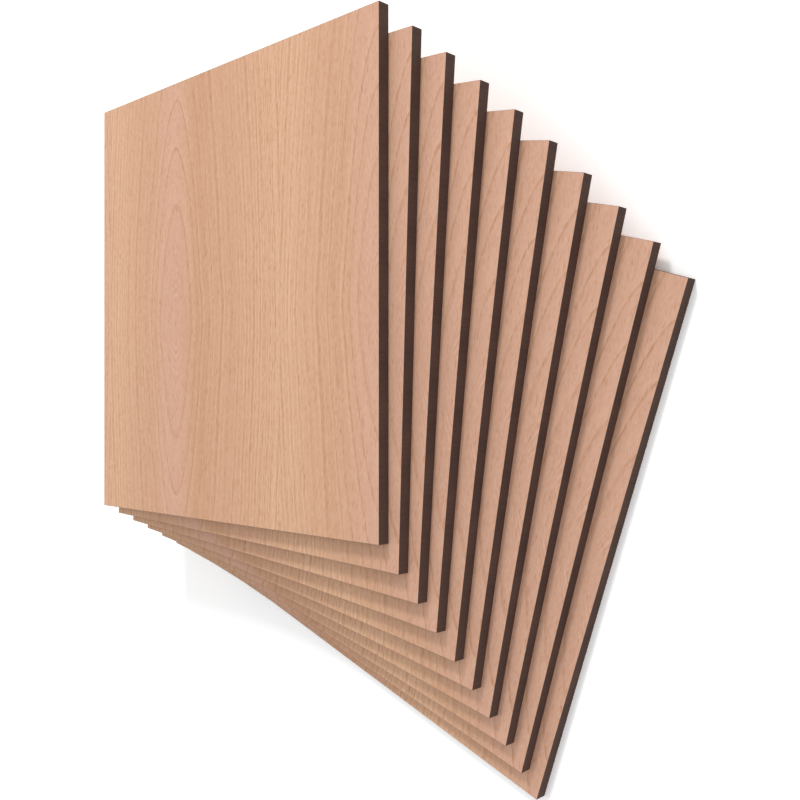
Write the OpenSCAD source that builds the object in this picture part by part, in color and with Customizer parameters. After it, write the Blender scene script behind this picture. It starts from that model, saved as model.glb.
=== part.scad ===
// Fanned stack of square plywood sheets.
// The sheets lie flat, face on face, and each one is slipped and turned a little
// from the one above it, so that its face and two of its edges stay in view.
// Millimetres, +Z up. The origin is on the floor, under the middle of the fan.

/* [Sheet] */
// Width of a sheet, across the grain
sheet_width = 254; // [60:1:610]
// Length of a sheet, along the grain
sheet_length = 254; // [60:1:610]
// Thickness of a sheet
sheet_thickness = 6.35; // [1.5:0.05:25]

/* [Stack] */
// How many sheets lie on each other
sheet_count = 10; // [1:1:30]
// Clockwise turn of each sheet from the one above it, in degrees
fan_turn = 2; // [0:0.1:3]
// Slip of each sheet's turning corner to the right of the one above it
slip_right = 6.8; // [0:0.1:8]
// Slip of each sheet's turning corner towards the front of the one above it
slip_front = 4.9; // [0:0.1:8]

/* [Hidden] */
// Sanded veneer, as the face of a sheet shows it
veneer_colour = "#D8AC8E";

// Sheets are counted from the top of the stack down: place 0 is the top sheet.
function sheet_name(place) = str("sheet_", place < 9 ? "0" : "", place + 1);

// The corner that a sheet turns about, and its turn, both from the top sheet's.
function turning_corner(place) = place * [slip_right, -slip_front];
function turn(place) = -place * fan_turn;
function turned(point, angle) =
    [point.x * cos(angle) - point.y * sin(angle), point.x * sin(angle) + point.y * cos(angle)];

// The ground that the whole fan covers, which puts the origin under its middle.
outline = [[0, 0], [sheet_width, 0], [sheet_width, sheet_length], [0, sheet_length]];
fan_corners = [
    for (place = [0 : sheet_count - 1])
        for (corner = outline) turning_corner(place) + turned(corner, turn(place))
];
fan_xs = [for (corner = fan_corners) corner.x];
fan_ys = [for (corner = fan_corners) corner.y];
fan_middle = [min(fan_xs) + max(fan_xs), min(fan_ys) + max(fan_ys)] / 2;

// One sheet: a solid panel cut square, with no ply of its own in view.
module panel() {
    color(veneer_colour)
        linear_extrude(sheet_thickness)
            polygon(outline);
}

// A sheet at its place in the fan, resting on the sheets below it.
module sheet(place) {
    sheets_below = sheet_count - 1 - place;
    corner = turning_corner(place) - fan_middle;
    translate([corner.x, corner.y, sheets_below * sheet_thickness])
        rotate(turn(place))
            panel();
}

for (place = [0 : sheet_count - 1])
    sheet(place);
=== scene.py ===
"""Looks, light and camera for a fanned stack of square veneered plywood sheets."""

import logging
import math
from collections.abc import Mapping
from dataclasses import dataclass, field
from enum import Enum
from typing import Any

import bpy
from bpy.types import Material, NodeOutputs, NodeSocket, NodeTree, Object
from mathutils import Matrix, Vector


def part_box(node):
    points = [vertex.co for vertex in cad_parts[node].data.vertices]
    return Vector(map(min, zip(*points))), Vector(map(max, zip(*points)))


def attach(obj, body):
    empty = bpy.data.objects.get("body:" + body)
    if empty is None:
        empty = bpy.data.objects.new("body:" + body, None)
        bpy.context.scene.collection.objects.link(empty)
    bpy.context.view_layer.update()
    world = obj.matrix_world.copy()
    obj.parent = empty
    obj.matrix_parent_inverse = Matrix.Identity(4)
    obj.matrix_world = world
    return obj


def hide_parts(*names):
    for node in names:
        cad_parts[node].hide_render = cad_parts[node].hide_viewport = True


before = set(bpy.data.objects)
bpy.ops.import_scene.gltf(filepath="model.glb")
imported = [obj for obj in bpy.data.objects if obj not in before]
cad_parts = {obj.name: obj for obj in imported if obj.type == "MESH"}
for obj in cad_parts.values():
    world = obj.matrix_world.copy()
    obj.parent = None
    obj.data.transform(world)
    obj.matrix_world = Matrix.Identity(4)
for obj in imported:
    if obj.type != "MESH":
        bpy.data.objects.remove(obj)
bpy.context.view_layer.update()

LOG = logging.getLogger("plywood_stack")
BODY = "root"
MM = 0.001

# Noise seldom leaves this stretch, so a pattern spreads this stretch over its whole range.
NOISE_SPAN = (0.3, 0.7)

# Layers of finer noise on top of the first.
NOISE_DETAIL = 1.0

# Patterns change within this depth of wood, in millimetres, so each sheet shows its own.
PATTERN_DEPTH = 1.0

# Points along each side of the lattice that a sheet is made from. The inner ones bound its flats.
LATTICE_POINTS = 4

# A flat that lies square to the sheet scores 1, and a facet of an eased arris or corner at most 0.75.
FLAT_SCORE = 0.9

# A flat whose normal is less upright than this is cut edge, and any other is veneer.
UPRIGHT = 0.99

MATH = "ShaderNodeMath"
VECTOR_MATH = "ShaderNodeVectorMath"
MIX = "ShaderNodeMix"
MAP_RANGE = "ShaderNodeMapRange"
NOISE = "ShaderNodeTexNoise"
ATTRIBUTE = "ShaderNodeAttribute"


class Mark(Enum):
    """What each point of a sheet's mesh carries for the finishes to read."""

    PLACE = "sheet_place"
    LEAF = "veneer_leaf"


class Surface(Enum):
    """The two kinds of surface that a sheet shows."""

    FACE = "Veneer"
    EDGE = "Cut edge"


def linear(hex_colour: str) -> tuple[float, float, float, float]:
    """Turns an sRGB colour into the linear one that shaders take, by the sRGB standard's own curve.

    Args:
        hex_colour: the colour as "#RRGGBB".

    Returns:
        Linear red, green and blue, and an alpha of 1.
    """
    levels = [int(hex_colour[i : i + 2], 16) / 255 for i in (1, 3, 5)]
    red, green, blue = (
        level / 12.92 if level <= 0.04045 else ((level + 0.055) / 1.055) ** 2.4 for level in levels
    )
    return red, green, blue, 1.0


def add_node(
    tree: NodeTree, kind: str, feeds: Mapping[str | int, Any] | None = None, **settings: Any
) -> NodeSocket | None:
    """Adds a node to a tree, with its settings made and its inputs fed.

    Args:
        tree: the shader or geometry tree that the node goes into.
        kind: Blender's name for the kind of node.
        feeds: an input's name or number, to the socket that feeds it or to its value.
        **settings: the node's own settings.

    Returns:
        The node's first output in use, or None where it has none.
    """
    node = tree.nodes.new(kind)
    for name, value in settings.items():
        setattr(node, name, value)
    in_use = [socket for socket in node.inputs if socket.enabled]
    for key, value in (feeds or {}).items():
        named = [socket for socket in in_use if socket.name == key]
        socket = in_use[key] if isinstance(key, int) else named[0]
        if isinstance(value, NodeSocket):
            tree.links.new(value, socket)
        else:
            socket.default_value = value
    return next((socket for socket in node.outputs if socket.enabled), None)


def clouds(tree: NodeTree, place: NodeSocket, size: tuple[float, float, float]) -> NodeSocket:
    """A soft pattern of clouds, scaled from the real size of one.

    Args:
        tree: the shader tree to build in.
        place: where on its sheet a point is, in millimetres.
        size: width, length and height of a cloud, in millimetres.

    Returns:
        The level of the pattern, around a half.
    """
    width, length, height = size
    spread = add_node(
        tree, VECTOR_MATH, {0: place, 1: (1 / width, 1 / length, 1 / height)}, operation="MULTIPLY"
    )
    return add_node(tree, NOISE, {"Vector": spread, "Scale": 1.0, "Detail": NOISE_DETAIL})


@dataclass(frozen=True)
class Rings:
    """The growth rings on the face of a leaf, as shader sockets, with lengths in millimetres.

    Attributes:
        core: distance from the middle of the core, as a share of the core's own size.
        chevron: distance along the grain from the heart to the tip of the chevron there.
        radius: distance from the heart of the log.
        steepness: how fast the radius grows across the grain, near 1 beside the heart and low at
            the tips of the ovals, where the cut draws the lines out broad.
        count: how many rings the radius spans.
        past_line: distance past the last ring line.
        to_line: distance to the next ring line.
    """

    core: NodeSocket
    chevron: NodeSocket
    radius: NodeSocket
    steepness: NodeSocket
    count: NodeSocket
    past_line: NodeSocket
    to_line: NodeSocket


@dataclass(frozen=True)
class FlatCutFigure:
    """The growth rings that a flat cut through a log leaves in a leaf of veneer.

    The cut runs close past the heart of the log, so the rings show as tall nested ovals over
    the heart and as near-straight lines beside it. Leaves from one log lie side by side, each
    with the same figure. Sizes are in millimetres.

    Attributes:
        leaf_width: width of a leaf, across the grain.
        first_joint: distance of the first joint from the sheet's left side.
        heart_across: distance of the heart from the joint on its left.
        heart_along: distance of the heart from the sheet's front end.
        heart_depth: how far under the top sheet's cut the heart lies.
        depth_per_leaf: how much deeper it lies under each leaf further down the stack.
        taper: how much deeper it lies for each millimetre along the grain.
        waist_round: rounding of the ovals at their widest.
        tip_round: rounding of their tips.
        oval_power: shape of the ovals, from 1 for straight sides to 2 for an ellipse.
        core_half: half width and half length of the core.
        core_aside: how far the core lies to the left of the ovals' own middle.
        chevron_round: rounding of the tips of the chevrons, twice the radius there.
        rings_per_mm: rings to a millimetre at the heart.
        ring_crowding: how much that grows with the square of the radius.
        first_ring: ring count at the heart.
        good_years: how far ring lines stray as years of fast and slow growth follow each other, in
            rings, and the radius that a run of such years spans.
        wave: slow sway of the grain, as its reach each way, its width and its length.
        ripple: quick sway of the grain, in the same terms.
    """

    leaf_width: float = 172.0
    first_joint: float = 8.4
    heart_across: float = 75.4
    heart_along: float = 114.3
    heart_depth: float = 10.2
    depth_per_leaf: float = 0.12
    taper: float = 0.15
    waist_round: float = 4.0
    tip_round: float = 6.0
    oval_power: float = 1.7
    core_half: tuple[float, float] = (9.0, 14.5)
    core_aside: float = 1.0
    chevron_round: float = 4.2
    rings_per_mm: float = 0.19
    ring_crowding: float = 7.5e-6
    first_ring: float = -0.26
    good_years: tuple[float, float] = (0.8, 7.0)
    wave: tuple[float, float, float] = (2.4, 30.0, 90.0)
    ripple: tuple[float, float, float] = (0.8, 7.0, 18.0)

    def sway(self, tree: NodeTree, place: NodeSocket, size: tuple[float, float, float]) -> NodeSocket:
        """Sidewise sway of the grain.

        Args:
            tree: the shader tree to build in.
            place: where on its sheet a point is, in millimetres.
            size: how far the grain sways each way, and how wide and how long a sway is.

        Returns:
            The sway in millimetres.
        """
        reach, across, along = size
        cloud = clouds(tree, place, (across, along, PATTERN_DEPTH))
        return add_node(
            tree, MAP_RANGE, {"Value": cloud, "To Min": -reach, "To Max": reach}, clamp=False
        )

    def from_joint(self, tree: NodeTree, place: NodeSocket) -> NodeSocket:
        """Distance across the grain from the joint on the left of each leaf.

        Args:
            tree: the shader tree to build in.
            place: where on its sheet a point is, in millimetres.

        Returns:
            The distance in millimetres, which starts again at each joint.
        """
        across = add_node(tree, "ShaderNodeSeparateXYZ", {0: place}).node.outputs["X"]
        moved = add_node(tree, MATH, {0: across, 1: self.first_joint}, operation="SUBTRACT")
        return add_node(tree, MATH, {0: moved, 1: 0.0, 2: self.leaf_width}, operation="WRAP")

    def from_heart(self, tree: NodeTree, place: NodeSocket) -> tuple[NodeSocket, NodeSocket]:
        """Distances from the heart in the plane of the cut, with the sway of the grain in both.

        Args:
            tree: the shader tree to build in.
            place: where on its sheet a point is, in millimetres.

        Returns:
            The distance across the grain and the distance along it.
        """
        across = self.from_joint(tree, place)
        along = add_node(tree, "ShaderNodeSeparateXYZ", {0: place}).node.outputs["Y"]
        wave = self.sway(tree, place, self.wave)
        ripple = self.sway(tree, place, self.ripple)
        sway = add_node(tree, MATH, {0: wave, 1: ripple}, operation="ADD")
        beside = add_node(tree, MATH, {0: across, 1: self.heart_across}, operation="SUBTRACT")
        beside = add_node(tree, MATH, {0: beside, 1: sway}, operation="ADD")
        beyond = add_node(tree, MATH, {0: along, 1: self.heart_along}, operation="SUBTRACT")
        beyond = add_node(tree, MATH, {0: beyond, 1: sway}, operation="ADD")
        return beside, beyond

    def core_share(self, tree: NodeTree, beside: NodeSocket, beyond: NodeSocket) -> NodeSocket:
        """Distance from the middle of the core, as a share of the core's own size.

        Args:
            tree: the shader tree to build in.
            beside: distance from the heart across the grain.
            beyond: distance from the heart along it.

        Returns:
            The share, which is 1 at the rim of the core.
        """
        core = add_node(tree, "ShaderNodeCombineXYZ", {"X": beside, "Y": beyond})
        core = add_node(tree, VECTOR_MATH, {0: core, 1: (self.core_aside, 0.0, 0.0)}, operation="ADD")
        core = add_node(tree, VECTOR_MATH, {0: core, 1: (*self.core_half, 1.0)}, operation="DIVIDE")
        return add_node(tree, VECTOR_MATH, {0: core}, operation="LENGTH").node.outputs["Value"]

    def ovals(
        self, tree: NodeTree, beside: NodeSocket, beyond: NodeSocket, leaf: NodeSocket
    ) -> tuple[NodeSocket, NodeSocket]:
        """Works out how far each point of the cut is from the heart of the log.

        Along the grain the log tapers away from the cut, which closes the ovals.

        Args:
            tree: the shader tree to build in.
            beside: distance from the heart across the grain.
            beyond: distance from the heart along it.
            leaf: which leaf of the log the sheet carries, counted from the top of the stack.

        Returns:
            The radius, and how fast it grows across the grain.
        """
        depth = add_node(
            tree, MATH, {0: beyond, 1: self.taper, 2: self.heart_depth}, operation="MULTIPLY_ADD"
        )
        depth = add_node(
            tree, MATH, {0: leaf, 1: self.depth_per_leaf, 2: depth}, operation="MULTIPLY_ADD"
        )
        square = add_node(
            tree, MATH, {0: beside, 1: beside, 2: self.tip_round**2}, operation="MULTIPLY_ADD"
        )
        width_part = add_node(tree, MATH, {0: square, 1: self.oval_power / 2}, operation="POWER")
        depth_part = add_node(tree, MATH, {0: depth, 1: self.oval_power}, operation="POWER")
        whole = add_node(tree, MATH, {0: width_part, 1: depth_part}, operation="ADD")
        steepness = add_node(tree, MATH, {0: width_part, 1: whole}, operation="DIVIDE")
        steepness = add_node(
            tree, MATH, {0: steepness, 1: 1 - 1 / self.oval_power}, operation="POWER"
        )
        radius = add_node(tree, MATH, {0: whole, 1: 1 / self.oval_power}, operation="POWER")
        return radius, steepness

    def counted(self, tree: NodeTree, radius: NodeSocket) -> tuple[NodeSocket, NodeSocket]:
        """Counts the rings, which crowd towards the bark.

        Args:
            tree: the shader tree to build in.
            radius: distance from the heart of the log.

        Returns:
            How many rings the radius spans, and how many there are to a millimetre of it.
        """
        square = add_node(tree, MATH, {0: radius, 1: radius}, operation="MULTIPLY")
        density = add_node(
            tree, MATH, {0: square, 1: self.ring_crowding, 2: self.rings_per_mm}, operation="MULTIPLY_ADD"
        )
        count = add_node(
            tree, MATH, {0: radius, 1: density, 2: self.first_ring}, operation="MULTIPLY_ADD"
        )
        stray, run = self.good_years
        years = add_node(
            tree, NOISE, {"W": radius, "Scale": 1 / run, "Detail": NOISE_DETAIL}, noise_dimensions="1D"
        )
        years = add_node(
            tree, MAP_RANGE, {"Value": years, "To Min": -stray, "To Max": stray}, clamp=False
        )
        count = add_node(tree, MATH, {0: count, 1: years}, operation="ADD")

        # The count's cubic part gives its slope three times the crowding.
        slope = 3 * self.ring_crowding
        closeness = add_node(
            tree, MATH, {0: square, 1: slope, 2: self.rings_per_mm}, operation="MULTIPLY_ADD"
        )
        return count, closeness

    def rings(self, tree: NodeTree, place: NodeSocket, leaf: NodeSocket) -> Rings:
        """Works out the rings, the core and the chevrons that the cut shows.

        Args:
            tree: the shader tree to build in.
            place: where on its sheet a point is, in millimetres.
            leaf: which leaf of the log the sheet carries, counted from the top of the stack.

        Returns:
            The rings' sockets.
        """
        beside, beyond = self.from_heart(tree, place)
        core = self.core_share(tree, beside, beyond)

        # From here on only the distance counts, rounded so that the ovals bend smoothly at their widest.
        square = add_node(
            tree, MATH, {0: beyond, 1: beyond, 2: self.waist_round**2}, operation="MULTIPLY_ADD"
        )
        beyond = add_node(tree, MATH, {0: square}, operation="SQRT")
        square = add_node(tree, MATH, {0: beside, 1: beside}, operation="MULTIPLY")
        chevron = add_node(
            tree, MATH, {0: square, 1: 1 / self.chevron_round, 2: beyond}, operation="MULTIPLY_ADD"
        )
        radius, steepness = self.ovals(tree, beside, beyond, leaf)
        count, closeness = self.counted(tree, radius)
        closeness = add_node(tree, MATH, {0: closeness, 1: steepness}, operation="MULTIPLY")
        age = add_node(tree, MATH, {0: count}, operation="FRACT")
        rest = add_node(tree, MATH, {0: 1.0, 1: age}, operation="SUBTRACT")
        past_line = add_node(tree, MATH, {0: age, 1: closeness}, operation="DIVIDE")
        to_line = add_node(tree, MATH, {0: rest, 1: closeness}, operation="DIVIDE")
        return Rings(core, chevron, radius, steepness, count, past_line, to_line)


@dataclass(frozen=True)
class WoodBand:
    """A band of wood of another colour that runs with the grain. Sizes are in millimetres.

    Attributes:
        colour: the wood in the middle of the band.
        across: distance of its middle from the joint on its left.
        reach: how far from there it fades out, each way.
    """

    colour: str
    across: float
    reach: float


@dataclass(frozen=True)
class VeneerFinish:
    """Flat-cut fruitwood veneer, sliced, glued up and sanded, with no coat on it.

    It gives the eye a matt pinkish tan with soft brown ring lines that break into short dashes,
    finer lines between them and fibres along the grain. Sizes are in millimetres, and a depth is
    a share of the wood's own tone.

    Attributes:
        name: the material's name.
        tan_wood: the plain wood.
        pale_wood: the wood at a joint between leaves.
        heart_wood: the pinker wood over the heart.
        shade_wood: the darker wood beside it.
        early_wood: the pale band past a ring line.
        ring_line: the ring lines.
        browning: how much of a tone's change goes to red, green and blue.
        ovals_from: radius at which ring lines start to show, and at which they show in full.
        faint_radius: radius at which ring lines are faintest.
        faint_reach: how far from there they come back in full.
        faint_share: how strong the faintest are.
        ring_weight: how strong the weakest and the strongest ring line is.
        line_width: distance from a ring line at which it starts to fade, and at which it ends.
        line_depth: how much of the line's colour shows.
        glow_width: how far the pale band past a line reaches.
        glow_depth: how much of its colour shows.
        dash: width and length of the dashes that a line breaks into.
        dash_depth: how strong a line is between its dashes and in them.
        core_rim: share of the core's size at which the core ends, and at which the wood starts.
        core_depth: how much darker the core is.
        chevron_reach: distance from the heart at which the chevrons start to fade, and at which they end.
        chevron_pitch: distance from one chevron to the next.
        chevron_depth: how strong the chevrons are.
        fine_lines_per_ring: fine lines from one ring line to the next.
        fine_patch: width and length of the patches that fine lines come in.
        fine_depth: how strong the fine lines are.
        fine_fade: how fast they fade as lines broaden towards the tips of the ovals.
        fibre: width and length of a fibre.
        fibre_depth: how strong the fibres are.
        fleck: width and length of a fleck, a short dark pore that the cut opens.
        fleck_span: level of noise at which a fleck starts, and at which it is darkest.
        fleck_depth: how dark the flecks are.
        streak: width and length of a streak.
        streak_depth: how strong the streaks are.
        roughness: roughness of the hardest and of the softest fibres.
        specular: strength of the mirror-like part.
        bump: height of the fibres and lines.
    """

    name: str = "Fruitwood veneer, sanded"
    tan_wood: str = "#D4A687"
    pale_wood: WoodBand = WoodBand("#DCB08F", 0.0, 46.0)
    heart_wood: WoodBand = WoodBand("#D6A88F", 71.5, 28.0)
    shade_wood: WoodBand = WoodBand("#CFA080", 98.5, 19.0)
    early_wood: str = "#E5BA9B"
    ring_line: str = "#B5815C"
    browning: tuple[float, float, float] = (0.5, 0.76, 1.0)
    ovals_from: tuple[float, float] = (14.0, 25.0)
    faint_radius: float = 60.0
    faint_reach: float = 35.0
    faint_share: float = 0.33
    ring_weight: tuple[float, float] = (0.75, 1.0)
    line_width: tuple[float, float] = (0.3, 2.0)
    line_depth: float = 0.52
    glow_width: float = 3.2
    glow_depth: float = 0.25
    dash: tuple[float, float] = (1.2, 4.2)
    dash_depth: tuple[float, float] = (0.2, 1.4)
    core_rim: tuple[float, float] = (0.92, 1.06)
    core_depth: float = 0.01
    chevron_reach: tuple[float, float] = (18.0, 37.0)
    chevron_pitch: float = 5.0
    chevron_depth: float = 0.13
    fine_lines_per_ring: float = 1.5
    fine_patch: tuple[float, float] = (7.0, 22.0)
    fine_depth: float = 0.17
    fine_fade: float = 4.0

    # Real fibres and pores are too fine for the render to show, so these are drawn coarser.
    fibre: tuple[float, float] = (0.7, 2.6)
    fibre_depth: float = 0.09
    fleck: tuple[float, float] = (0.6, 5.0)
    fleck_span: tuple[float, float] = (0.62, 0.72)
    fleck_depth: float = 0.28
    streak: tuple[float, float] = (2.2, 60.0)
    streak_depth: float = 0.025
    roughness: tuple[float, float] = (0.54, 0.7)
    specular: float = 0.2
    bump: float = 0.02

    def streaks(
        self,
        tree: NodeTree,
        place: NodeSocket,
        size: tuple[float, float],
        values: tuple[float, float],
        span: tuple[float, float] = NOISE_SPAN,
    ) -> NodeSocket:
        """Streaks that run with the grain.

        Args:
            tree: the shader tree to build in.
            place: where on its sheet a point is, in millimetres.
            size: width and length of a streak.
            values: value between the streaks, and value in them.
            span: levels of noise that those two values stand at.

        Returns:
            The value.
        """
        cloud = clouds(tree, place, (*size, PATTERN_DEPTH))
        low, high = span
        between, inside = values
        return add_node(
            tree,
            MAP_RANGE,
            {"Value": cloud, "From Min": low, "From Max": high, "To Min": between, "To Max": inside},
        )

    def plain_wood(self, tree: NodeTree, across: NodeSocket, leaf_width: float) -> NodeSocket:
        """The wood's colour before any line: pale at the joints, pink over the heart, darker beside it.

        Args:
            tree: the shader tree to build in.
            across: distance across the grain from the joint on the left of the leaf.
            leaf_width: how wide a leaf is.

        Returns:
            The colour.
        """
        wood = linear(self.tan_wood)
        for band in (self.pale_wood, self.heart_wood, self.shade_wood):
            beside = add_node(tree, MATH, {0: across, 1: band.across}, operation="SUBTRACT")
            beside = add_node(tree, MATH, {0: beside, 1: leaf_width / 2}, operation="PINGPONG")
            share = add_node(
                tree,
                MAP_RANGE,
                {"Value": beside, "From Max": band.reach, "To Min": 1.0, "To Max": 0.0},
                interpolation_type="SMOOTHSTEP",
            )
            wood = add_node(
                tree, MIX, {"Factor": share, "A": wood, "B": linear(band.colour)}, data_type="RGBA"
            )
        return wood

    def ring_lines(
        self, tree: NodeTree, place: NodeSocket, wood: NodeSocket, rings: Rings
    ) -> NodeSocket:
        """Draws a dark line at the end of each year's growth and a pale band past it.

        Args:
            tree: the shader tree to build in.
            place: where on its sheet a point is, in millimetres.
            wood: the colour to draw on.
            rings: the rings' sockets.

        Returns:
            The colour with its ring lines.
        """
        year = add_node(tree, MATH, {0: rings.count}, operation="ROUND")
        weakest, strongest = self.ring_weight
        weight = add_node(tree, "ShaderNodeTexWhiteNoise", {"W": year}, noise_dimensions="1D")
        weight = add_node(tree, MAP_RANGE, {"Value": weight, "To Min": weakest, "To Max": strongest})
        inner, outer = self.ovals_from
        start = add_node(tree, MAP_RANGE, {"Value": rings.radius, "From Min": inner, "From Max": outer})
        fade = add_node(tree, MATH, {0: rings.radius, 1: self.faint_radius}, operation="SUBTRACT")
        fade = add_node(tree, MATH, {0: fade}, operation="ABSOLUTE")
        fade = add_node(
            tree, MAP_RANGE, {"Value": fade, "From Max": self.faint_reach, "To Min": self.faint_share}
        )
        strength = add_node(tree, MATH, {0: weight, 1: start}, operation="MULTIPLY")
        strength = add_node(tree, MATH, {0: strength, 1: fade}, operation="MULTIPLY")
        glow = add_node(
            tree,
            MAP_RANGE,
            {
                "Value": rings.past_line,
                "From Max": self.glow_width,
                "To Min": self.glow_depth,
                "To Max": 0.0,
            },
        )
        glow = add_node(tree, MATH, {0: glow, 1: strength}, operation="MULTIPLY")
        dark, plain = self.line_width
        line = add_node(
            tree,
            MAP_RANGE,
            {
                "Value": rings.to_line,
                "From Min": dark,
                "From Max": plain,
                "To Min": self.line_depth,
                "To Max": 0.0,
            },
            interpolation_type="SMOOTHSTEP",
        )
        line = add_node(tree, MATH, {0: line, 1: strength}, operation="MULTIPLY")
        dashes = self.streaks(tree, place, self.dash, self.dash_depth)
        line = add_node(tree, MATH, {0: line, 1: dashes}, operation="MULTIPLY")
        for share, colour in ((glow, self.early_wood), (line, self.ring_line)):
            wood = add_node(tree, MIX, {"Factor": share, "A": wood, "B": linear(colour)}, data_type="RGBA")
        return wood

    def fine_lines(self, tree: NodeTree, place: NodeSocket, rings: Rings) -> NodeSocket:
        """Lighter and darker lines finer than the rings: chevrons over the heart, close lines beside it.

        Args:
            tree: the shader tree to build in.
            place: where on its sheet a point is, in millimetres.
            rings: the rings' sockets.

        Returns:
            A share of the wood's tone to add, around 0.
        """
        turn = add_node(
            tree, MATH, {0: rings.chevron, 1: math.tau / self.chevron_pitch}, operation="MULTIPLY"
        )
        chevron = add_node(tree, MATH, {0: turn}, operation="SINE")
        inner, outer = self.chevron_reach
        depth = add_node(
            tree,
            MAP_RANGE,
            {
                "Value": rings.chevron,
                "From Min": inner,
                "From Max": outer,
                "To Min": self.chevron_depth,
                "To Max": 0.0,
            },
        )
        chevron = add_node(tree, MATH, {0: chevron, 1: depth}, operation="MULTIPLY")
        inner, outer = self.core_rim
        outside = add_node(tree, MAP_RANGE, {"Value": rings.core, "From Min": inner, "From Max": outer})
        heart = add_node(tree, MIX, {"Factor": outside, "A": -self.core_depth, "B": chevron})
        turn = add_node(
            tree, MATH, {0: rings.count, 1: math.tau * self.fine_lines_per_ring}, operation="MULTIPLY"
        )
        close = add_node(tree, MATH, {0: turn}, operation="SINE")
        depth = self.streaks(tree, place, self.fine_patch, (0.0, self.fine_depth))
        fade = add_node(tree, MATH, {0: rings.steepness, 1: self.fine_fade}, operation="POWER")
        depth = add_node(tree, MATH, {0: depth, 1: fade}, operation="MULTIPLY")
        return add_node(tree, MATH, {0: close, 1: depth, 2: heart}, operation="MULTIPLY_ADD")

    def material(self, figure: FlatCutFigure) -> Material:
        """Builds the veneer.

        Args:
            figure: the rings that the veneer shows.

        Returns:
            The material, which reads the marks that each sheet's mesh carries.
        """
        made = bpy.data.materials.new(self.name)
        made.use_nodes = True
        tree = made.node_tree
        shader = tree.nodes["Principled BSDF"]
        place = add_node(tree, ATTRIBUTE, attribute_name=Mark.PLACE.value).node.outputs["Vector"]
        leaf = add_node(tree, ATTRIBUTE, attribute_name=Mark.LEAF.value).node.outputs["Fac"]

        # Each leaf's patterns are read a millimetre further up, so that no two leaves are equal.
        shift = add_node(tree, "ShaderNodeCombineXYZ", {"Z": leaf})
        place = add_node(tree, VECTOR_MATH, {0: place, 1: shift}, operation="ADD")
        rings = figure.rings(tree, place, leaf)
        across = figure.from_joint(tree, place)
        wood = self.plain_wood(tree, across, figure.leaf_width)
        wood = self.ring_lines(tree, place, wood, rings)

        # Fibres, streaks and flecks along the grain lighten and darken the wood a little.
        fibre = self.streaks(tree, place, self.fibre, (-1.0, 1.0))
        streak = self.streaks(tree, place, self.streak, (-1.0, 1.0))
        fleck = self.streaks(tree, place, self.fleck, (0.0, -1.0), self.fleck_span)
        tone = self.fine_lines(tree, place, rings)
        for part, depth in (
            (fibre, self.fibre_depth),
            (streak, self.streak_depth),
            (fleck, self.fleck_depth),
        ):
            tone = add_node(tree, MATH, {0: part, 1: depth, 2: tone}, operation="MULTIPLY_ADD")
        browned = add_node(
            tree, VECTOR_MATH, {0: tone, 1: self.browning, 2: (1.0, 1.0, 1.0)}, operation="MULTIPLY_ADD"
        )
        wood = add_node(tree, VECTOR_MATH, {0: wood, 1: browned}, operation="MULTIPLY")
        tree.links.new(wood, shader.inputs["Base Color"])

        hard, soft = self.roughness
        sanded = add_node(
            tree, MAP_RANGE, {"Value": fibre, "From Min": -1.0, "To Min": soft, "To Max": hard}
        )
        tree.links.new(sanded, shader.inputs["Roughness"])
        bump = add_node(tree, "ShaderNodeBump", {"Distance": self.bump * MM, "Height": tone})
        tree.links.new(bump, shader.inputs["Normal"])
        shader.inputs["Specular IOR Level"].default_value = self.specular
        return made


@dataclass(frozen=True)
class CutEdgeFinish:
    """Plywood edge cut by laser, which browns the wood evenly from face to face.

    It gives the eye a dead-matt dark brown with faint upright streaks. Sizes are in millimetres.

    Attributes:
        name: the material's name.
        browned: the lightest brown.
        sooted: the darkest brown.
        streak: width and height of a streak of soot.
        cloud: size of the slow change from browner to sootier.
        roughness: roughness of the charred wood.
        specular: strength of the mirror-like part.
    """

    name: str = "Laser-browned plywood edge"
    browned: str = "#5C463E"
    sooted: str = "#4B3933"
    streak: tuple[float, float] = (0.7, 10.0)
    cloud: float = 18.0
    roughness: float = 0.85
    specular: float = 0.2

    def material(self) -> Material:
        """Builds the browned edge.

        Returns:
            The material, which reads the marks that each sheet's mesh carries.
        """
        made = bpy.data.materials.new(self.name)
        made.use_nodes = True
        tree = made.node_tree
        shader = tree.nodes["Principled BSDF"]
        place = add_node(tree, ATTRIBUTE, attribute_name=Mark.PLACE.value).node.outputs["Vector"]
        width, height = self.streak
        streaks = clouds(tree, place, (width, width, height))
        slow = clouds(tree, place, (self.cloud, self.cloud, self.cloud))

        # Two patterns added up spread over twice the stretch of one.
        soot = add_node(tree, MATH, {0: streaks, 1: slow}, operation="ADD")
        low, high = NOISE_SPAN
        soot = add_node(tree, MAP_RANGE, {"Value": soot, "From Min": 2 * low, "From Max": 2 * high})
        brown = add_node(
            tree,
            MIX,
            {"Factor": soot, "A": linear(self.browned), "B": linear(self.sooted)},
            data_type="RGBA",
        )
        tree.links.new(brown, shader.inputs["Base Color"])
        shader.inputs["Roughness"].default_value = self.roughness
        shader.inputs["Specular IOR Level"].default_value = self.specular
        return made


@dataclass(frozen=True)
class SheetPlace:
    """Where one sheet lies in the stack.

    Attributes:
        node: the CAD node that the sheet stands for.
        corner: its turning corner, on the underside, in metres.
        turn: its clockwise turn, in radians.
        leaf: which leaf of the log it carries, counted from the top of the stack.
    """

    node: str
    corner: Vector
    turn: float
    leaf: int


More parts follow.
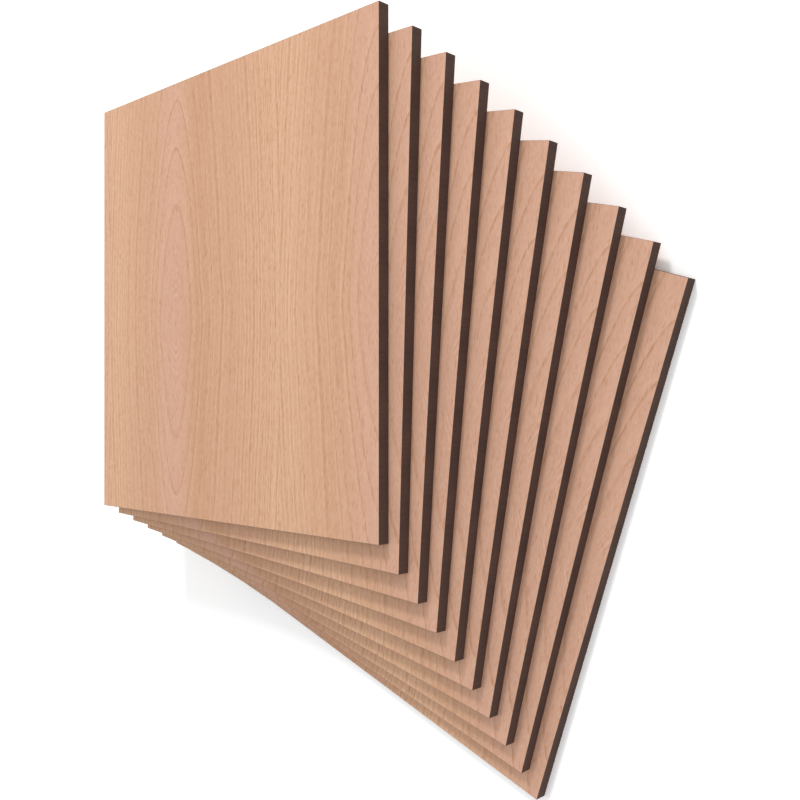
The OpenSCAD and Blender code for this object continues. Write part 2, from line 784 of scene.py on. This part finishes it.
@dataclass
class SheetBlank:
    """One sheet as it comes off the cutter: square, flat and with just-eased arrises, in metres.

    Attributes:
        width: size across the grain.
        length: size along the grain.
        thickness: size from face to face.
        arris: radius of the eased arrises.
        tree: the node tree that makes every sheet of the stack.
        sockets: name of each of the tree's inputs, to the identifier that sets it.
    """

    width: float
    length: float
    thickness: float
    arris: float
    tree: NodeTree = field(init=False)
    sockets: dict[str, str] = field(init=False, default_factory=dict)

    def __post_init__(self) -> None:
        """Builds the tree: an eased blank, marked, set at its place and given its two finishes."""
        self.tree = bpy.data.node_groups.new("Veneered sheet", "GeometryNodeTree")
        given = self.inputs()
        sheet = self.eased_blank(given)
        sheet = self.marked(sheet, given)
        sheet = self.placed(sheet, given)
        sheet = self.dressed(sheet, given)
        self.tree.interface.new_socket("Sheet", in_out="OUTPUT", socket_type="NodeSocketGeometry")
        add_node(self.tree, "NodeGroupOutput", {"Sheet": sheet})

    def inputs(self) -> NodeOutputs:
        """Names the tree's inputs and notes the identifier of each.

        Returns:
            The sockets that the inputs come in by.
        """
        for name, kind in (
            ("Width", "NodeSocketFloat"),
            ("Length", "NodeSocketFloat"),
            ("Thickness", "NodeSocketFloat"),
            ("Arris", "NodeSocketFloat"),
            ("Corner", "NodeSocketVector"),
            ("Turn", "NodeSocketFloat"),
            ("Leaf", "NodeSocketFloat"),
            (Surface.FACE.value, "NodeSocketMaterial"),
            (Surface.EDGE.value, "NodeSocketMaterial"),
        ):
            made = self.tree.interface.new_socket(name, in_out="INPUT", socket_type=kind)
            self.sockets[name] = made.identifier
        return add_node(self.tree, "NodeGroupInput").node.outputs

    def eased_blank(self, given: NodeOutputs) -> NodeSocket:
        """Makes the blank from a lattice whose outer points round the arrises.

        Args:
            given: the tree's inputs.

        Returns:
            The blank, with its turning corner at the origin and only its arrises shaded smooth.
        """
        tree = self.tree
        size = add_node(
            tree,
            "ShaderNodeCombineXYZ",
            {"X": given["Width"], "Y": given["Length"], "Z": given["Thickness"]},
        )
        points = {f"Vertices {axis}": LATTICE_POINTS for axis in "XYZ"}
        lattice = add_node(tree, "GeometryNodeMeshCube", {"Size": size, **points})
        half = add_node(tree, VECTOR_MATH, {0: size, "Scale": 0.5}, operation="SCALE")
        arris = add_node(tree, "ShaderNodeCombineXYZ", {axis: given["Arris"] for axis in "XYZ"})

        # Each point sits on the inner box that the flats bound, moved out by the arris.
        position = add_node(tree, "GeometryNodeInputPosition")
        share = add_node(tree, VECTOR_MATH, {0: position, 1: half}, operation="DIVIDE")
        way = add_node(tree, VECTOR_MATH, {0: share}, operation="SIGN")
        distance = add_node(tree, VECTOR_MATH, {0: share}, operation="ABSOLUTE")
        inner_share = 1 - 2 / (LATTICE_POINTS - 1)
        outer = add_node(tree, VECTOR_MATH, {0: distance, 1: (inner_share,) * 3}, operation="SUBTRACT")
        outward = add_node(tree, VECTOR_MATH, {0: way, 1: outer}, operation="MULTIPLY")
        outward = add_node(tree, VECTOR_MATH, {0: outward}, operation="NORMALIZE")
        inner = add_node(tree, VECTOR_MATH, {0: half, 1: arris}, operation="SUBTRACT")
        inner = add_node(tree, VECTOR_MATH, {0: way, 1: inner, 2: half}, operation="MULTIPLY_ADD")
        eased = add_node(tree, VECTOR_MATH, {0: outward, 1: arris, 2: inner}, operation="MULTIPLY_ADD")
        blank = add_node(tree, "GeometryNodeSetPosition", {"Geometry": lattice, "Position": eased})

        normal = add_node(tree, "GeometryNodeInputNormal")
        squares = add_node(tree, VECTOR_MATH, {0: normal, 1: normal}, operation="MULTIPLY")
        score = add_node(tree, VECTOR_MATH, {0: squares, 1: squares}, operation="DOT_PRODUCT")
        score = score.node.outputs["Value"]
        arrises = add_node(tree, MATH, {0: score, 1: FLAT_SCORE}, operation="LESS_THAN")
        return add_node(
            tree, "GeometryNodeSetShadeSmooth", {"Geometry": blank, "Shade Smooth": arrises}
        )

    def marked(self, blank: NodeSocket, given: NodeOutputs) -> NodeSocket:
        """Stores on each point where on its sheet it is, in millimetres, and the sheet's leaf.

        Args:
            blank: the blank, with its turning corner at the origin.
            given: the tree's inputs.

        Returns:
            The marked blank.
        """
        tree = self.tree
        position = add_node(tree, "GeometryNodeInputPosition")
        in_mm = add_node(tree, VECTOR_MATH, {0: position, "Scale": 1 / MM}, operation="SCALE")
        for mark, value, kind in (
            (Mark.PLACE, in_mm, "FLOAT_VECTOR"),
            (Mark.LEAF, given["Leaf"], "FLOAT"),
        ):
            blank = add_node(
                tree,
                "GeometryNodeStoreNamedAttribute",
                {"Geometry": blank, "Name": mark.value, "Value": value},
                data_type=kind,
            )
        return blank

    def placed(self, blank: NodeSocket, given: NodeOutputs) -> NodeSocket:
        """Sets the blank down at its corner, turned clockwise.

        Args:
            blank: the marked blank.
            given: the tree's inputs.

        Returns:
            The sheet at its place.
        """
        tree = self.tree
        spot = add_node(tree, "GeometryNodePoints", {"Count": 1, "Position": given["Corner"]})
        clockwise = add_node(tree, MATH, {0: given["Turn"], 1: -1.0}, operation="MULTIPLY")
        angles = add_node(tree, "ShaderNodeCombineXYZ", {"Z": clockwise})
        rotation = add_node(tree, "FunctionNodeEulerToRotation", {0: angles})
        sheet = add_node(
            tree, "GeometryNodeInstanceOnPoints", {"Points": spot, "Instance": blank, "Rotation": rotation}
        )
        return add_node(tree, "GeometryNodeRealizeInstances", {"Geometry": sheet})

    def dressed(self, sheet: NodeSocket, given: NodeOutputs) -> NodeSocket:
        """Gives the two faces their veneer and the rest the look of a cut edge.

        Args:
            sheet: the sheet at its place.
            given: the tree's inputs.

        Returns:
            The finished sheet.
        """
        tree = self.tree
        normal = add_node(tree, "GeometryNodeInputNormal")
        upright = add_node(tree, "ShaderNodeSeparateXYZ", {0: normal}).node.outputs["Z"]
        upright = add_node(tree, MATH, {0: upright}, operation="ABSOLUTE")
        cut = add_node(tree, MATH, {0: upright, 1: UPRIGHT}, operation="LESS_THAN")
        sheet = add_node(
            tree, "GeometryNodeSetMaterial", {"Geometry": sheet, "Material": given[Surface.FACE.value]}
        )
        return add_node(
            tree,
            "GeometryNodeSetMaterial",
            {"Geometry": sheet, "Selection": cut, "Material": given[Surface.EDGE.value]},
        )

    def piece(self, at: SheetPlace, finishes: Mapping[Surface, Material]) -> Object:
        """Makes one sheet of the stack.

        Args:
            at: where the sheet lies.
            finishes: the material of each kind of surface.

        Returns:
            The sheet as a plain mesh object, sitting at the origin.
        """
        name = f"veneered_{at.node}"
        made = bpy.data.objects.new(name, bpy.data.meshes.new(name))
        bpy.context.scene.collection.objects.link(made)
        modifier = made.modifiers.new("Sheet", "NODES")
        modifier.node_group = self.tree
        values = {
            "Width": self.width,
            "Length": self.length,
            "Thickness": self.thickness,
            "Arris": self.arris,
            "Corner": at.corner,
            "Turn": at.turn,
            "Leaf": float(at.leaf),
            **{surface.value: finish for surface, finish in finishes.items()},
        }
        for socket, value in values.items():
            modifier[self.sockets[socket]] = value
        graph = bpy.context.evaluated_depsgraph_get()
        mesh = bpy.data.meshes.new_from_object(made.evaluated_get(graph))
        made.modifiers.remove(modifier)
        made.data = mesh
        return made


@dataclass
class FannedStack:
    """The stack: sheets lying face on face, each slipped and turned from the one above it.

    Attributes:
        arris: radius of the sheets' eased arrises, in metres.
        figure: the rings that the veneer shows.
        veneer: finish of the faces.
        cut_edge: finish of the edges.
    """

    arris: float = 0.12 * MM
    figure: FlatCutFigure = field(default_factory=FlatCutFigure)
    veneer: VeneerFinish = field(default_factory=VeneerFinish)
    cut_edge: CutEdgeFinish = field(default_factory=CutEdgeFinish)

    def places(self) -> list[SheetPlace]:
        """Reads where each sheet lies from the boxes of the CAD nodes.

        The top sheet lies square to the axes, so its box is its size. A sheet that is turned
        clockwise touches the left of its box with its turning corner and the top with the next.

        Returns:
            The sheets' places, from the top of the stack down.
        """
        found = []
        low, high = self.top_box()
        width, length = (high - low).xy

        # A sheet's diagonal spans the width of its box, and a turn levels the diagonal by as much.
        diagonal = math.hypot(width, length)
        slant = math.atan2(length, width)
        for leaf, node in enumerate(sorted(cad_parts)):
            low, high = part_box(node)
            turn = slant - math.acos((high.x - low.x) / diagonal)
            corner = Vector((low.x, high.y - length * math.cos(turn), low.z))
            found.append(SheetPlace(node, corner, turn, leaf))
        return found

    def top_box(self) -> tuple[Vector, Vector]:
        """Lowest and highest corner of the top sheet."""
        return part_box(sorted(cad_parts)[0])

    def build(self) -> list[Object]:
        """Makes every sheet, names it after the CAD node that it stands for and hides that node.

        Returns:
            The finished pieces, from the top of the stack down.
        """
        low, high = self.top_box()
        blank = SheetBlank(*(high - low), arris=self.arris)
        finishes = {
            Surface.FACE: self.veneer.material(self.figure),
            Surface.EDGE: self.cut_edge.material(),
        }
        pieces = []
        for at in self.places():
            piece = blank.piece(at, finishes)
            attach(piece, BODY)
            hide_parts(at.node)
            pieces.append(piece)
        return pieces


@dataclass
class Studio:
    """A plain white floor under soft light, with the camera looking down on the stack, in metres.

    Attributes:
        eye_from_corner: the camera's place, from the turning corner of the top sheet's face.
        look_down_deg: how far under level the camera looks, in degrees.
        lens_px: focal length, in pixels of the image.
        image_px: width and height of the image, in pixels.
        lens_off_middle_px: how far right of the image's middle, and under it, the lens points.
        sensor_mm: width of the sensor, in millimetres.
        near_clip: distance from which the camera sees.
        floor_size: width and length of the floor.
        floor_white: the floor's white for the light that it throws back.
        floor_to_camera: its white for the camera, which takes it to plain white out of the shadow.
        dome: tone that the dome alone gives a level white face, where 1 is white.
        key_share: tone that the lamp adds there.
        key_size: width of the lamp.
        key_distance: distance of the lamp from the origin.
        key_height_deg: height of the lamp over the horizon, in degrees.
    """

    eye_from_corner: tuple[float, float, float] = (569.2 * MM, 66.9 * MM, 307.9 * MM)
    look_down_deg: float = 47.676
    lens_px: float = 943.95
    image_px: float = 800.0
    lens_off_middle_px: tuple[float, float] = (34.1, 1.8)
    sensor_mm: float = 36.0
    near_clip: float = 10 * MM
    floor_size: float = 30.0
    floor_white: float = 0.9
    floor_to_camera: float = 1.31
    dome: float = 0.77
    key_share: float = 0.23
    key_size: float = 0.3
    key_distance: float = 1.9
    key_height_deg: float = 40.5

    def camera(self, top_corner: Vector) -> None:
        """Sets the camera beside the stack, looking down across the grain with the grain upright.

        Args:
            top_corner: turning corner of the top sheet, on its face.
        """
        lens = bpy.data.cameras.new("Camera")
        lens.sensor_width = self.sensor_mm
        lens.lens = self.sensor_mm * self.lens_px / self.image_px
        lens.clip_start = self.near_clip
        right, down = self.lens_off_middle_px
        lens.shift_x = -right / self.image_px
        lens.shift_y = down / self.image_px
        made = bpy.data.objects.new("Camera", lens)
        bpy.context.scene.collection.objects.link(made)
        tilt = math.radians(self.look_down_deg)
        look = Vector((-math.cos(tilt), 0.0, -math.sin(tilt)))
        up = Vector((0.0, 1.0, 0.0))
        turn = Matrix((look.cross(up), up, -look)).transposed().to_4x4()
        made.matrix_world = Matrix.Translation(top_corner + Vector(self.eye_from_corner)) @ turn
        bpy.context.scene.camera = made

    def floor(self) -> None:
        """Lays the floor, which is white to the camera and keeps the stack's shadow."""
        half = self.floor_size / 2
        mesh = bpy.data.meshes.new("floor")
        corners = [(-half, -half, 0.0), (half, -half, 0.0), (half, half, 0.0), (-half, half, 0.0)]
        mesh.from_pydata(corners, [], [(0, 1, 2, 3)])
        made = bpy.data.objects.new("floor", mesh)
        bpy.context.scene.collection.objects.link(made)
        white = bpy.data.materials.new("Matt white floor")
        white.use_nodes = True
        tree = white.node_tree
        shader = tree.nodes["Principled BSDF"]
        seen = self.seen_directly(tree)
        tone = add_node(
            tree, MAP_RANGE, {"Value": seen, "To Min": self.floor_white, "To Max": self.floor_to_camera}
        )
        tree.links.new(tone, shader.inputs["Base Color"])
        shader.inputs["Roughness"].default_value = 1.0
        shader.inputs["Specular IOR Level"].default_value = 0.0
        mesh.materials.append(white)

    def seen_directly(self, tree: NodeTree) -> NodeSocket:
        """Tells what the camera sees, straight, mirrored or through glass, from other light.

        Args:
            tree: the shader tree to build in.

        Returns:
            1 for what the camera sees and 0 for other light.
        """
        rays = add_node(tree, "ShaderNodeLightPath").node.outputs
        seen = add_node(
            tree, MATH, {0: rays["Is Camera Ray"], 1: rays["Is Glossy Ray"]}, operation="MAXIMUM"
        )
        return add_node(tree, MATH, {0: seen, 1: rays["Is Transmission Ray"]}, operation="MAXIMUM")

    def light(self) -> None:
        """Lights the stack with a soft dome and one lamp from the far end of the grain."""
        world = bpy.data.worlds.new("Soft dome")
        bpy.context.scene.world = world
        world.use_nodes = True
        tree = world.node_tree
        sky = tree.nodes["Background"]
        sky.inputs["Color"].default_value = (1.0, 1.0, 1.0, 1.0)
        seen = self.seen_directly(tree)
        strength = add_node(tree, MAP_RANGE, {"Value": seen, "To Min": self.dome})
        tree.links.new(strength, sky.inputs["Strength"])
        lamp = bpy.data.lights.new("Key", "AREA")
        height = math.radians(self.key_height_deg)

        # The lamp's watts follow from the tone that it gives a level white face at the origin.
        lamp.energy = self.key_share * (math.pi * self.key_distance) ** 2 / math.sin(height)
        lamp.size = self.key_size
        made = bpy.data.objects.new("Key", lamp)
        bpy.context.scene.collection.objects.link(made)
        towards = Vector((0.0, math.cos(height), math.sin(height)))
        made.location = towards * self.key_distance
        made.rotation_euler = (-towards).to_track_quat("-Z", "Y").to_euler()

    def build(self, top_corner: Vector) -> None:
        """Sets up the camera, the floor and the light.

        Args:
            top_corner: turning corner of the top sheet, on its face.
        """
        self.camera(top_corner)
        self.floor()
        self.light()
        bpy.context.scene.view_settings.view_transform = "Standard"


def main() -> None:
    logging.basicConfig(level=logging.INFO, format="%(message)s")
    stack = FannedStack()
    for piece in stack.build():
        LOG.info("%s: %d faces", piece.name, len(piece.data.polygons))
    low, high = stack.top_box()
    Studio().build(Vector((low.x, low.y, high.z)))


if __name__ == "__main__":
    main()
